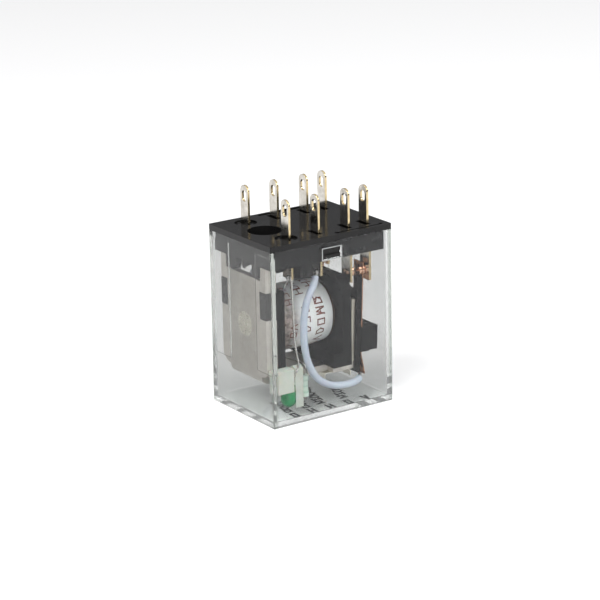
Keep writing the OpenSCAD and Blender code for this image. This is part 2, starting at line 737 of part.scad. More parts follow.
module contact_spring(side) {
    t = spring_t;
    x0 = spring_x;
    color(copper) at_rest() difference() {
        union() {
            hung([x0, x0 + t], span(side * spring_y, spring_w), [spring_top, tail_bend]);
            translate([0, side * spring_y + spring_w / 2, body_h]) rotate([90, 0, 0]) linear_extrude(spring_w)
                polygon([[x0, -tail_bend + slip], [x0 + t, -tail_bend + slip], [x0 + t, -tail_bend],
                    [x0 + t + tail_flare, -tail_end], [x0 + tail_flare, -tail_end], [x0, -tail_bend]]);
        }
        translate([0, side * row_y, body_h - contact_depth]) rod_x(x0 - 1, x0 + 1, contact_r / 2);
    }
}

module contact_spring_a() { contact_spring(near); }
module contact_spring_b() { contact_spring(far); }

// a rivet with a head on both faces of its spring
module moving_contact(side) {
    color(brass) at_rest() translate([spring_x, side * row_y, body_h - contact_depth])
        rivet_x(moving_no_head, spring_t, moving_nc_head, contact_r, contact_r);
}

module moving_contact_a() { moving_contact(near); }
module moving_contact_b() { moving_contact(far); }

// ---------- lead wires ----------

module lead_wire(side) {
    color("#d5dcea") wire([for (p = lead_route) place(p, side)], lead_d / 2, [0.2, 1, 0], 12);
}

module lead_wire_a() { lead_wire(near); }
module lead_wire_b() { lead_wire(far); }

// small solder beads that hold the bare ends on the common tails
module com_solder_joints() {
    x = com_x - blade_t / 2;
    color("#c9c9c7") for (s = [near, far]) intersection() {
        translate([x, s * row_y, body_h - com_tail + bead_r]) sphere(bead_r);
        hung([x - 2, x], span(s * row_y, 4), [com_tail - 3, com_tail + 2]);
    }
}

// beads on the springs' tails, with the bare end that reaches towards the lead wire
module spring_solder_joints() {
    stub = [1.15, 0.25];             // length and radius of the bare end
    lean = [42, 100];
    color("#c9c9c7") for (s = [near, far]) at_rest()
        translate([tail_foot_x, s * spring_y, body_h - tail_end]) intersection() {
            union() {
                sphere(bead_r);
                translate([0, 0, -stub[1] - 0.1]) rotate([s * -lean[0], -lean[1], 0])
                    cylinder(h = stub[0], r = stub[1]);
            }
            slab([-2, 2], [-2, 2], [-2, 0]);
        }
}

// ---------- lamp ----------

module lamp() {
    dome = lamp_r;
    translate([lamp_x, lamp_y, body_h - lamp_tip_depth]) color("#2f9e5a", 0.8) union() {
        translate([0, 0, dome]) cylinder(h = lamp_tip_depth - lamp_seat_depth - dome, r = lamp_r);
        intersection() {
            translate([0, 0, dome]) sphere(dome);
            translate([-dome, -dome, 0]) cube([2 * dome, 2 * dome, dome + slip]);
        }
    }
}

module lamp_holder() {
    post_front = holder_front + 0.45;
    shelf_top = lamp_seat_depth - 0.3;
    shelf_in = 0.55;
    bar_end = post_to + 1.6;         // bar behind the post that carries the resistor's end
    bar_gap = 0.05;                  // between the bar and the yoke's leg
    bar_foot = 32.6;
    lead_holes = [-8.35, -7.15];
    lead_play = 0.12;
    lamp_play = 0.08;
    color("#dfe6e0") difference() {
        union() {
            hung([yoke_in + 0.1, holder_split], [holder_front, holder_back], [holder_top, holder_foot]);
            hung([yoke_x + 0.2, yoke_in + 0.2], [holder_front, -yoke_w / 2 - 0.15], [holder_top, holder_foot]);
            hung([holder_split - slip, post_from + slip], [holder_front + shelf_in, holder_back],
                [shelf_top, holder_foot]);
            translate([post_from, post_front + post_r, body_h - post_top - post_r]) rotate([0, 90, 0])
                cylinder(h = post_to - post_from, r = post_r);
            hung([post_from, post_to], [post_front, post_back], [post_top + post_r, post_foot]);
            hung([post_from, post_to], [post_back - slip, holder_back], [rail_top, holder_foot]);
            hung([holder_split, bar_end], [holder_back - slip, -leg_w / 2 - bar_gap], [rail_top, bar_foot]);
        }
        // seat of the lamp, and room for it behind the post
        translate([lamp_x, lamp_y, body_h - holder_foot - slip])
            cylinder(h = holder_foot - lamp_seat_depth + slip, r = lamp_r);
        translate([lamp_x, lamp_y, body_h - post_foot - slip])
            cylinder(h = post_foot - holder_foot + 2 * slip, r = lamp_r + lamp_play);
        // holes for the lamp's leads
        for (y = lead_holes) translate([lamp_lead_x, y, body_h - lamp_seat_depth - slip])
            cylinder(h = 1, r = bare_d / 2 + lead_play);
    }
}

module lamp_leads() {
    color(steel) {
        wire([for (p = lamp_route) place(p, near)], bare_d / 2, [0, 1, 0], 8);
        wire([for (p = link_route) place(p, near)], bare_d / 2, [0, 1, 0], 8);
        wire([for (p = return_route) place(p, far)], bare_d / 2, [1, -1, 0], 8);
    }
}

module resistor() {
    r = resistor_r;
    cap_l = 1;                       // thicker end caps
    waist = 0.86;                    // body between them as a share of their radius
    color("#a9c9b4") translate([resistor_x, resistor_y, body_h - resistor_depth]) union() {
        cylinder(h = resistor_l - 1.6 * cap_l, r = r * waist, center = true);
        for (s = [-1, 1]) translate([0, 0, s * (resistor_l - cap_l) / 2])
            cylinder(h = cap_l, r = r, center = true);
    }
}

// ---------- what is drawn ----------

cover();
base();
coil_terminal_a();
coil_terminal_b();
com_terminal_a();
com_terminal_b();
no_terminal_a();
no_terminal_b();
nc_terminal_a();
nc_terminal_b();
no_contact_a();
no_contact_b();
nc_contact_a();
nc_contact_b();
bobbin();
winding();
coil_tape();
coil_leads();
core();
yoke();
hinge_spring();
armature();
residual_shim();
moving_block();
armature_rivets();
contact_spring_a();
contact_spring_b();
moving_contact_a();
moving_contact_b();
lead_wire_a();
lead_wire_b();
com_solder_joints();
spring_solder_joints();
lamp();
lamp_holder();
lamp_leads();
resistor();
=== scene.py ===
"""Looks for a miniature plug-in relay: clear case, plated blades, taped coil and a hinged armature."""

import json
import math

import bmesh
import bpy
from mathutils import Matrix, Vector


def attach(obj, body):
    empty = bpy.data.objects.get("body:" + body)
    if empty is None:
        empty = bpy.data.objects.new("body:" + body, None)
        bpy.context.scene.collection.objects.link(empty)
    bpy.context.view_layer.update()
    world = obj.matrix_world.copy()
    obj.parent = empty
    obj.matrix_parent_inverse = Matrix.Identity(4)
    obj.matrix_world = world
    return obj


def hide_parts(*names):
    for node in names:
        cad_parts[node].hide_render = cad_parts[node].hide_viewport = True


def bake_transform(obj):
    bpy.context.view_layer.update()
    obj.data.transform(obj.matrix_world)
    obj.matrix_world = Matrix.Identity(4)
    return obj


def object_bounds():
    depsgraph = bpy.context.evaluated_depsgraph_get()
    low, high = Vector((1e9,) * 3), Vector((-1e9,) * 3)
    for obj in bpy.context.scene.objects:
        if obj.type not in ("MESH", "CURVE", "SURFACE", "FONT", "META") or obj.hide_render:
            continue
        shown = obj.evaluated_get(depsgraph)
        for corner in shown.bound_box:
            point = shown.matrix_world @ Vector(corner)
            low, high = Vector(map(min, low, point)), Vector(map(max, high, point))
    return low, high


MM = 0.001

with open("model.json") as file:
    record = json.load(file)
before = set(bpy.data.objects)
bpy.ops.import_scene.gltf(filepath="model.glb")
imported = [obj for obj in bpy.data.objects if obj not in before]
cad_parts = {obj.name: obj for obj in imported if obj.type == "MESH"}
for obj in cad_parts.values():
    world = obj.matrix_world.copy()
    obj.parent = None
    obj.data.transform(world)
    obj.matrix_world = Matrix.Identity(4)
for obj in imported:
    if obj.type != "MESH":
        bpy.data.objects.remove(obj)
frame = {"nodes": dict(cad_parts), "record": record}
record = frame["record"]
bodies_of = {n: b for b, ns in record["behaviour"]["bodies"].items() for n in ns}
slot_of = {s["node"]: s["material_slot"] for s in record["subparts"]}
cad_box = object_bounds()

# ---------------------------------------------------------------- camera

SWING, TILT, ROLL = math.radians(34.15), math.radians(17.62), math.radians(-1.07)
DISTANCE = 0.4695
AIM_UP, AIM_LEFT = 0.00516, 0.0006
LENS, SENSOR = 144.66, 36.0


def set_camera():
    ahead = Vector((math.sin(SWING) * math.cos(TILT), math.cos(SWING) * math.cos(TILT), -math.sin(TILT)))
    right = Vector((math.cos(SWING), -math.sin(SWING), 0))
    up = right.cross(ahead)
    right, up = right * math.cos(ROLL) + up * math.sin(ROLL), up * math.cos(ROLL) - right * math.sin(ROLL)
    place = Vector((0, 0, 0.018)) - ahead * DISTANCE
    ahead = (ahead + up * AIM_UP - right * AIM_LEFT).normalized()
    right = ahead.cross(up).normalized()
    up = right.cross(ahead)
    data = bpy.data.cameras.new("camera")
    data.lens, data.sensor_width = LENS, SENSOR
    data.clip_start, data.clip_end = 0.01, 20
    cam = bpy.data.objects.new("camera", data)
    bpy.context.scene.collection.objects.link(cam)
    turn = Matrix((right, up, -ahead)).transposed().to_4x4()
    cam.matrix_world = Matrix.Translation(place) @ turn
    bpy.context.scene.camera = cam


set_camera()

# ---------------------------------------------------------------- material helpers


def add(tree, kind, props=None, **inputs):
    """A node with its properties and inputs set; an input that is a socket is linked."""
    n = tree.nodes.new(kind)
    for key, value in (props or {}).items():
        setattr(n, key, value)
    for key, value in inputs.items():
        by_number = key[0] == "_" and key[1:].isdigit()
        socket = n.inputs[int(key[1:]) if by_number else key.replace("_", " ")]
        if isinstance(value, bpy.types.NodeSocket):
            tree.links.new(value, socket)
        else:
            socket.default_value = value
    return n


def rgb(r, g, b):
    return (r, g, b, 1.0)


def new_material(name, **shader):
    mat = bpy.data.materials.new(name)
    mat.use_nodes = True
    tree = mat.node_tree
    main = tree.nodes["Principled BSDF"]
    for key, value in shader.items():
        main.inputs[key.replace("_", " ")].default_value = value
    return mat, tree, main


def object_coords(tree, scale=(1, 1, 1)):
    """Object coordinates in millimetres, stretched by scale."""
    coords = add(tree, "ShaderNodeTexCoord").outputs["Object"]
    return add(tree, "ShaderNodeMapping", Vector=coords, Scale=[1000 * s for s in scale]).outputs["Vector"]


def noise(tree, vector, scale, detail=3.0, rough=0.55):
    n = add(tree, "ShaderNodeTexNoise", Vector=vector, Scale=scale, Detail=detail, Roughness=rough)
    return n.outputs["Fac"]


def axis(tree, vector, which):
    """One of a vector's three parts: 0, 1 or 2."""
    return add(tree, "ShaderNodeSeparateXYZ", Vector=vector).outputs[which]


def ramp(tree, fac, *stops):
    n = add(tree, "ShaderNodeValToRGB", Fac=fac)
    band = n.color_ramp
    while len(band.elements) < len(stops):
        band.elements.new(0.5)
    for element, (place, colour) in zip(band.elements, stops):
        element.position, element.color = place, colour
    return n.outputs["Color"]


def spread(tree, fac, low, high, from_low=0.3, from_high=0.7):
    return add(tree, "ShaderNodeMapRange", _0=fac, _1=from_low, _2=from_high, _3=low, _4=high).outputs[0]


def maths(tree, what, a, b=0.0):
    return add(tree, "ShaderNodeMath", {"operation": what}, _0=a, _1=b).outputs[0]


def blend_colours(tree, fac, a, b, mode="MIX"):
    n = add(tree, "ShaderNodeMix", {"data_type": "RGBA", "blend_type": mode}, _0=fac, _6=a, _7=b)
    return n.outputs[2]


def bump(tree, main, height, strength, depth_mm):
    n = add(tree, "ShaderNodeBump", Height=height, Strength=strength, Distance=depth_mm * MM)
    tree.links.new(n.outputs["Normal"], main.inputs["Normal"])
    return n


def feed(tree, main, **sockets):
    for key, socket in sockets.items():
        tree.links.new(socket, main.inputs[key.replace("_", " ")])


# ---------------------------------------------------------------- finishes


FACE_Z = (1.15, 1.35)                 # millimetres: where the closed face, painted lighter to lift the shadow seen through it, ends and the walls begin
LOW_SHADE_Z = (1.3, 9.0)                    # reach of the painted shade that greys the lower walls
COIL_END_SHADE_X = (-13.0, -12.8)           # the coil end's wall, tinted darker with painted shade
SHADED_CORNER_X, SHADED_CORNER_Y = 13.1, 9.85       # the upright corners lie outside both and are darkened with painted shade


def clear_cover():
    """Clear moulding whose tint carries painted shade (greyer lower walls, darker upright corners, a darker coil-end
    wall) and a painted lift that lightens the closed face against the shadow under the case.
    """
    mat, tree, main = new_material(
        "clear_cover", IOR=1.56, Transmission_Weight=0.988, Specular_Tint=rgb(0.16, 0.16, 0.17),
    )
    at = object_coords(tree)
    wall = ramp(tree, noise(tree, at, 0.12), (0.3, rgb(0.69, 0.7, 0.698)), (0.7, rgb(0.73, 0.732, 0.725)))
    height = axis(tree, at, 2)
    # Painted shade greys the lower walls; painted light lifts the closed face against the shadow under the case.
    low = spread(tree, height, 1.0, 0.0, *LOW_SHADE_Z)
    face = spread(tree, height, 1.0, 0.0, *FACE_Z)
    tint = blend_colours(tree, maths(tree, "MULTIPLY", low, 0.5), wall, rgb(0.66, 0.68, 0.675))
    tint = blend_colours(tree, face, tint, rgb(0.93, 0.94, 0.93))
    # Painted shade: the upright corners are tinted darker to dim the bright light carried along their edges.
    ends, sides = (
        maths(tree, "GREATER_THAN", maths(tree, "ABSOLUTE", axis(tree, at, i)), edge)
        for i, edge in ((0, SHADED_CORNER_X), (1, SHADED_CORNER_Y))
    )
    tint = blend_colours(tree, maths(tree, "MULTIPLY", ends, sides), tint, rgb(0.5, 0.53, 0.5))
    # Painted shade: the coil end's wall is tinted darker.
    coil_end_shade = spread(tree, axis(tree, at, 0), 1.0, 0.0, *COIL_END_SHADE_X)
    tint = blend_colours(tree, coil_end_shade, tint, rgb(0.82, 0.82, 0.81), "MULTIPLY")
    feed(tree, main, Base_Color=tint, Roughness=spread(tree, noise(tree, at, 0.35), 0.01, 0.045))
    lamp_light = add(tree, "ShaderNodeLightPath").outputs["Is Shadow Ray"]
    clear = add(tree, "ShaderNodeBsdfTransparent", Color=rgb(0.88, 0.89, 0.89))
    mix = add(tree, "ShaderNodeMixShader", _0=lamp_light, _1=main.outputs[0], _2=clear.outputs[0])
    tree.links.new(mix.outputs[0], tree.nodes["Material Output"].inputs["Surface"])
    return mat


def moulded_black(name="moulded_black", shine=0.18, level=0.14):
    mat, tree, main = new_material(name, IOR=1.5, Specular_IOR_Level=level)
    at = object_coords(tree)
    black = ramp(tree, noise(tree, at, 0.5), (0.3, rgb(0.006, 0.006, 0.0063)), (0.7, rgb(0.01, 0.0097, 0.0095)))
    feed(tree, main, Base_Color=black)
    feed(tree, main, Roughness=spread(tree, noise(tree, at, 1.3), shine, shine + 0.12))
    bump(tree, main, noise(tree, at, 9.0), 0.15, 0.01)
    return mat


def plated_blade():
    """Tin plate on the flat sides, the punched brass at the edges."""
    mat, tree, main = new_material("plated_blade", Metallic=1.0)
    at = object_coords(tree)
    facing = axis(tree, add(tree, "ShaderNodeNewGeometry").outputs["Normal"], 0)
    flat = spread(tree, maths(tree, "ABSOLUTE", facing), 0.0, 1.0, 0.75, 0.97)
    tin = ramp(tree, noise(tree, at, 0.8), (0.3, rgb(0.44, 0.415, 0.37)), (0.7, rgb(0.66, 0.635, 0.59)))
    brass = ramp(tree, noise(tree, at, 1.4), (0.3, rgb(0.5, 0.39, 0.21)), (0.7, rgb(0.68, 0.56, 0.35)))
    feed(tree, main, Base_Color=blend_colours(tree, flat, brass, tin))
    grain = noise(tree, object_coords(tree, (1, 1, 0.06)), 7.0)
    feed(tree, main, Roughness=spread(tree, grain, 0.1, 0.24))
    bump(tree, main, grain, 0.3, 0.01)
    return mat


def satin_metal(name, dark, light, low, high, stretch=(1, 1, 1), scale=4.0, depth=0.01):
    mat, tree, main = new_material(name, Metallic=1.0)
    cloud = noise(tree, object_coords(tree), 0.6)
    grain = noise(tree, object_coords(tree, stretch), scale)
    feed(tree, main, Base_Color=ramp(tree, cloud, (0.3, rgb(*dark)), (0.7, rgb(*light))))
    feed(tree, main, Roughness=spread(tree, grain, low, high))
    bump(tree, main, grain, 0.3, depth)
    return mat


def wound_wire_painted_dark():
    mat, tree, main = new_material("wound_wire_painted_dark", Metallic=0.6)
    at = object_coords(tree)
    bands = {"wave_type": "BANDS", "bands_direction": "X"}
    turns = add(tree, "ShaderNodeTexWave", bands, Vector=at, Scale=1.6, Distortion=0.4).outputs["Fac"]
    # The winding's near-black colour is painted shade standing for the shadowed gap between the tape's end and the
    # flange.
    feed(tree, main, Base_Color=ramp(tree, turns, (0.0, rgb(0.03, 0.015, 0.01)), (1.0, rgb(0.13, 0.06, 0.035))))
    feed(tree, main, Roughness=spread(tree, turns, 0.35, 0.6, 0.0, 1.0))
    bump(tree, main, turns, 0.6, 0.05)
    return mat


def film_tape():
    """Thin whitish film over copper: pinkish where it lies close, whiter where it stands off."""
    mat, tree, main = new_material(
        "film_tape", Subsurface_Weight=0.12, Subsurface_Scale=0.0006, Coat_Weight=0.25, Coat_Roughness=0.25,
    )
    at = object_coords(tree)
    near_end = spread(tree, axis(tree, at, 0), 1.0, 0.0, -7.0, -4.2)
    cloud = noise(tree, at, 0.45, 4.0)
    plain = ramp(tree, cloud, (0.3, rgb(0.84, 0.81, 0.8)), (0.7, rgb(0.95, 0.94, 0.94)))
    pink = ramp(tree, noise(tree, at, 1.1, 4.0), (0.34, rgb(0.12, 0.08, 0.065)), (0.66, rgb(0.6, 0.5, 0.46)))
    feed(tree, main, Base_Color=blend_colours(tree, near_end, plain, pink))
    feed(tree, main, Roughness=spread(tree, cloud, 0.3, 0.5))
    bump(tree, main, noise(tree, object_coords(tree, (1, 0.35, 0.35)), 1.8), 0.5, 0.12)
    return mat


def plastic(name, dark, light, low, high, scale=0.9, subsurface=0.0, **shader):
    mat, tree, main = new_material(name, Subsurface_Weight=subsurface, Subsurface_Scale=0.0008, **shader)
    at = object_coords(tree)
    cloud = noise(tree, at, scale)
    feed(tree, main, Base_Color=ramp(tree, cloud, (0.3, rgb(*dark)), (0.7, rgb(*light))))
    feed(tree, main, Roughness=spread(tree, cloud, low, high))
    bump(tree, main, noise(tree, at, scale * 7), 0.15, 0.012)
    return mat


def tinted_resin():
    mat, tree, main = new_material("tinted_resin", IOR=1.5, Transmission_Weight=0.55)
    at = object_coords(tree)
    green = ramp(tree, noise(tree, at, 1.2), (0.3, rgb(0.005, 0.36, 0.1)), (0.7, rgb(0.02, 0.56, 0.2)))
    feed(tree, main, Base_Color=green)
    feed(tree, main, Roughness=spread(tree, noise(tree, at, 2.0), 0.08, 0.2))
    return mat


def resistor_lacquer():
    """Pale green lacquer with faint bands."""
    mat, tree, main = new_material(
        "resistor_lacquer", Coat_Weight=0.4, Coat_Roughness=0.15, Subsurface_Weight=0.1, Subsurface_Scale=0.0006,
    )
    at = object_coords(tree)
    height = axis(tree, at, 2)
    body = ramp(tree, noise(tree, at, 1.0), (0.3, rgb(0.62, 0.79, 0.68)), (0.7, rgb(0.74, 0.87, 0.78)))
    for place in (5.0, 6.2, 7.4):
        off = maths(tree, "ABSOLUTE", maths(tree, "SUBTRACT", height, place))
        body = blend_colours(tree, spread(tree, off, 0.45, 0.0, 0.13, 0.25), body, rgb(0.3, 0.52, 0.4))
    feed(tree, main, Base_Color=body, Roughness=spread(tree, noise(tree, at, 2.2), 0.28, 0.4))
    bump(tree, main, noise(tree, at, 6.0), 0.15, 0.02)
    return mat


FINISH = {
    "clear_cover": clear_cover(),
    "black_plastic": moulded_black(),
    "plated_blade": plated_blade(),
    "contact_metal": satin_metal("contact_metal", (0.8, 0.45, 0.28), (0.95, 0.68, 0.5), 0.16, 0.3),
    "enamelled_wire": wound_wire_painted_dark(),
    "coil_tape": film_tape(),
    "soft_iron": satin_metal("nickelled_iron", (0.6, 0.565, 0.52), (0.74, 0.7, 0.65), 0.32, 0.5, (1, 0.2, 1), 5.0),
    "spring_steel": satin_metal("spring_steel", (0.82, 0.78, 0.68), (0.95, 0.91, 0.82), 0.22, 0.4),
    "shim_brass": satin_metal("shim_brass", (0.5, 0.37, 0.15), (0.66, 0.5, 0.24), 0.25, 0.4),
    "spring_copper": satin_metal("spring_copper", (0.42, 0.2, 0.11), (0.62, 0.33, 0.2), 0.2, 0.34, (1, 1, 0.15)),
    "wire_insulation": plastic("wire_insulation", (0.48, 0.545, 0.65), (0.56, 0.62, 0.71), 0.28, 0.4, 0.7, 0.15),
    "solder": satin_metal("cooled_solder", (0.5, 0.49, 0.48), (0.68, 0.67, 0.66), 0.18, 0.42, scale=2.0, depth=0.03),
    "lamp_green": tinted_resin(),
    "holder_plastic": plastic("holder_plastic", (0.52, 0.56, 0.5), (0.63, 0.66, 0.6), 0.3, 0.45, 0.6, 0.3),
    "tinned_wire": satin_metal("tinned_wire", (0.6, 0.58, 0.55), (0.75, 0.73, 0.7), 0.16, 0.3, scale=6.0),
    "resistor_body": resistor_lacquer(),
}
deck_black = moulded_black("deck_black", 0.07, 0.22)
core_iron = satin_metal("core_iron", (0.72, 0.68, 0.58), (0.92, 0.88, 0.78), 0.16, 0.5, scale=1.6, depth=0.12)
armature_cream = satin_metal("armature_plate", (0.56, 0.52, 0.43), (0.7, 0.66, 0.57), 0.3, 0.46, (1, 1, 0.2))
# Painted highlight: grey for the strips that stand for the bright outline of the snap windows.
rim_glint_paint = plastic("rim_glint_paint", (0.26, 0.27, 0.27), (0.36, 0.37, 0.37), 0.2, 0.35)
brown_ink = plastic("brown_ink", (0.15, 0.04, 0.03), (0.24, 0.085, 0.065), 0.4, 0.6)
grey_ink = plastic("grey_ink", (0.012, 0.012, 0.014), (0.03, 0.03, 0.033), 0.45, 0.6)

for name, node in frame["nodes"].items():
    node.data.materials.clear()
    node.data.materials.append(FINISH[slot_of[name]])

# ---------------------------------------------------------------- mesh helpers


def new_piece(name, mesh, mat, body):
    piece = bpy.data.objects.new(name, mesh)
    bpy.context.scene.collection.objects.link(piece)
    mesh.materials.clear()
    mesh.materials.append(mat)
    if body:
        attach(piece, body)
    return piece


def to_mesh(bm, name, smooth=True, sharp_angle=35):
    for face in bm.faces:
        face.smooth = smooth
    for edge in bm.edges:
        edge.smooth = len(edge.link_faces) == 2 and edge.calc_face_angle(0) < math.radians(sharp_angle)
    mesh = bpy.data.meshes.new(name)
    bm.to_mesh(mesh)
    bm.free()
    return mesh


def worked(node_name, width, segments=2, mat=None):
    """A CAD node's shape with its sharp edges broken, standing for that node."""
    bm = bmesh.new()
    bm.from_mesh(frame["nodes"][node_name].data)
    bmesh.ops.remove_doubles(bm, verts=bm.verts, dist=2e-6)
    bmesh.ops.dissolve_limit(bm, angle_limit=math.radians(1.0), verts=bm.verts, edges=bm.edges)
    sharp = [e for e in bm.edges if len(e.link_faces) == 2 and e.calc_face_angle(0) > math.radians(35)]
    bmesh.ops.bevel(
        bm, geom=sharp, offset=width * MM, offset_type="OFFSET", segments=segments, profile=0.5,
        affect="EDGES", clamp_overlap=True, material=-1,
    )
    mesh = to_mesh(bm, node_name, sharp_angle=50)
    slot = slot_of[node_name]
    piece = new_piece(node_name + "_worked", mesh, mat or FINISH[slot], bodies_of[node_name])
    even = piece.modifiers.new("even_normals", "WEIGHTED_NORMAL")
    even.keep_sharp = True
    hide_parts(node_name)
    return piece


def smooth_line(points, steps):
    """Points of a smooth curve through the given ones."""
    pts = [Vector(p) for p in points]
    line = []
    for i in range(len(pts) - 1):
        a, b, c, d = pts[max(i - 1, 0)], pts[i], pts[i + 1], pts[min(i + 2, len(pts) - 1)]
        for k in range(steps):
            t = k / steps
            square, cube = 2 * a - 5 * b + 4 * c - d, 3 * b - a - 3 * c + d
            line.append(0.5 * (2 * b + (c - a) * t + square * t * t + cube * t ** 3))
    line.append(pts[-1])
    return line


def tube(name, lines, radius, mat, body, steps=5, rings=6):
    """Round wires along lines given in millimetres."""
    curve = bpy.data.curves.new(name, "CURVE")
    curve.dimensions = "3D"
    curve.bevel_depth = radius * MM
    curve.bevel_resolution = rings
    curve.use_fill_caps = True
    for points in lines:
        run = smooth_line(points, steps)
        spline = curve.splines.new("POLY")
        spline.points.add(len(run) - 1)
        for point, place in zip(spline.points, run):
            point.co = (*(place * MM), 1.0)
    holder = bpy.data.objects.new(name + "_line", curve)
    bpy.context.scene.collection.objects.link(holder)
    bpy.context.view_layer.update()
    mesh = bpy.data.meshes.new_from_object(holder.evaluated_get(bpy.context.evaluated_depsgraph_get()))
    bpy.data.objects.remove(holder)
    bm = bmesh.new()
    bm.from_mesh(mesh)
    bmesh.ops.remove_doubles(bm, verts=bm.verts, dist=1e-7)
    bmesh.ops.recalc_face_normals(bm, faces=bm.faces)
    bpy.data.meshes.remove(mesh)
    return new_piece(name, to_mesh(bm, name, sharp_angle=60), mat, body)


TOP = 36.0                            # height of the deck in millimetres; depths are measured down from it
WINDOW_L, WINDOW_H, WINDOW_DEPTH = 4.3, 2.2, 3.5


def hang(points, side):
    """Points as x, y and depth below the deck, for one side."""
    return [(x, side * y, TOP - d) for x, y, d in points]


# ---------------------------------------------------------------- CAD shapes with broken edges

worked("base", 0.12, 2, deck_black)
for n in ("coil_terminal", "com_terminal", "no_terminal", "nc_terminal"):
    for side in "ab":
        worked(f"{n}_{side}", 0.1)
for n in ("bobbin", "yoke", "moving_block", "lamp_holder"):
    worked(n, 0.1)
worked("armature", 0.12, 2, armature_cream)
worked("resistor", 0.22, 3)
worked("core", 0.1, 2, core_iron)
for n in ("hinge_spring", "contact_spring_a", "contact_spring_b"):
    worked(n, 0.05)
worked("cover", 0.14, 2)

# ---------------------------------------------------------------- leads

LEAD_ROUTE = [
    (-2.55, 8.1, 8.2), (-2.9, 8.45, 8.9), (-3.55, 8.8, 9.8), (-4.5, 9, 11.1), (-5.3, 9, 13), (-5.8, 9, 15.5),
    (-5.95, 9, 18), (-5.85, 9, 21), (-5.4, 9, 23.6), (-4.6, 9, 25.8), (-3.4, 9, 27.8), (-1.8, 9, 29.3),
    (0.1, 9, 30.3), (2, 9, 30.8), (4, 8.95, 31), (5.6, 8.75, 31), (6.9, 8.3, 30.95), (7.7, 7.75, 30.9),
]
LAMP_ROUTE = [
    (-7.95, 8.1, 7.83), (-7.85, 8.15, 11), (-7.7, 8.2, 16), (-7.55, 8.35, 20.5), (-7.45, 8.8, 23),
    (-7.5, 9.25, 24.3), (-7.75, 9.42, 25.2), (-8.25, 9.42, 25.9), (-8.475, 9.3, 26.6), (-8.475, 8.85, 27.2),
    (-8.475, 8.45, 27.6), (-8.475, 8.35, 28), (-8.475, 8.35, 28.47),
]
LINK_ROUTE = [
    (-8.475, 7.15, 28.47), (-8.475, 7.12, 27.5), (-8.2, 6.95, 26.7), (-7, 6.8, 26.3), (-5.9, 6.95, 26.25),
    (-5.1, 7.25, 26.5), (-4.9, 7.3, 27.2), (-4.9, 7.3, 27.67),
]
RETURN_ROUTE = [
    (-4.9, -7.3, 31.93), (-4.8, -7.2, 32.45), (-4.35, -6.85, 32.75), (-3.85, -6.6, 32.3), (-3.7, -6.6, 30.5),
    (-3.75, -6.55, 28), (-3.9, -6.1, 26.4), (-4.2, -5, 25.9), (-5, 0, 25.9), (-5.8, 5, 25.9), (-6.4, 7.6, 25.4),
    (-7.1, 8.5, 23.5), (-7.9, 8.75, 19), (-8.2, 8.6, 13), (-7.95, 8.1, 7.83),
]
COIL_ROUTE = [(-8.15, 7.4, 7.83), (-8.6, 7.3, 8.6), (-9, 6.8, 10), (-9.05, 5.8, 12), (-8.95, 4.55, 13.7)]

SLEEVE_R, BARE_R, FINE_R, STRAND_R = 0.7, 0.2, 0.11, 0.1

for side, tag in ((-1, "a"), (1, "b")):
    lead = tube(f"lead_wire_{tag}_sleeve", [hang(LEAD_ROUTE, side)], SLEEVE_R,
                FINISH["wire_insulation"], None, 6, 8)
    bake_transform(lead)
    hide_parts(f"lead_wire_{tag}")
tinned = tube("lamp_leads_round", [hang(LAMP_ROUTE, -1), hang(LINK_ROUTE, -1), hang(RETURN_ROUTE, 1)],
              BARE_R, FINISH["tinned_wire"], "case")
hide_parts("lamp_leads")
fine = tube("coil_leads_round", [hang(COIL_ROUTE, -1), hang(COIL_ROUTE, 1)],
            FINE_R, FINISH["tinned_wire"], "case")
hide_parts("coil_leads")

# ---------------------------------------------------------------- taped coil

AXIS_Z = TOP - 17.7
TAPE_FROM, TAPE_TO, TAPE_R, TAPE_BULGE = -8.5, 2.9, 6.08, 0.4
TAPE_ROWS, TAPE_TURN = 54, 180


def tape_radius(x, angle):
    """Distance of the tape from the coil's axis, with pleats where the film is gathered at the coil end."""
    t = (x - (TAPE_FROM + TAPE_TO) / 2) / ((TAPE_TO - TAPE_FROM) / 2)
    crease = max(0.0, -t - 0.55) / 0.45
    pleats = math.sin(17 * angle + 2.0 * math.sin(3 * angle)) + 0.6 * math.sin(29 * angle + 5 * x)
    soft = 0.03 * math.sin(5 * angle + 0.9 * x) + 0.02 * math.sin(9 * angle - 1.3 * x)
    return TAPE_R + TAPE_BULGE * (1 - t * t) + soft + 0.11 * crease * pleats - 0.25 * crease * crease


def round_axis(x, angle, radius):
    """Angle 0 is straight up and grows towards the near side."""
    return Vector((x, -radius * math.sin(angle), AXIS_Z + radius * math.cos(angle))) * MM


def wrap_tape():
    bm = bmesh.new()
    bmesh.ops.create_grid(bm, x_segments=TAPE_ROWS, y_segments=TAPE_TURN, size=1.0)
    for v in bm.verts:
        x = TAPE_FROM + (TAPE_TO - TAPE_FROM) * (v.co.x + 1) / 2
        angle = math.pi * (v.co.y + 1)
        v.co = round_axis(x, angle, tape_radius(x, angle))
    bmesh.ops.remove_doubles(bm, verts=bm.verts, dist=1e-6)
    bmesh.ops.recalc_face_normals(bm, faces=bm.faces)
    mesh = to_mesh(bm, "coil_tape_wrap", sharp_angle=70)
    piece = new_piece("coil_tape_wrap", mesh, FINISH["coil_tape"], "case")
    wall = piece.modifiers.new("film", "SOLIDIFY")
    wall.thickness, wall.offset = 0.06 * MM, -1
    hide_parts("coil_tape")


wrap_tape()

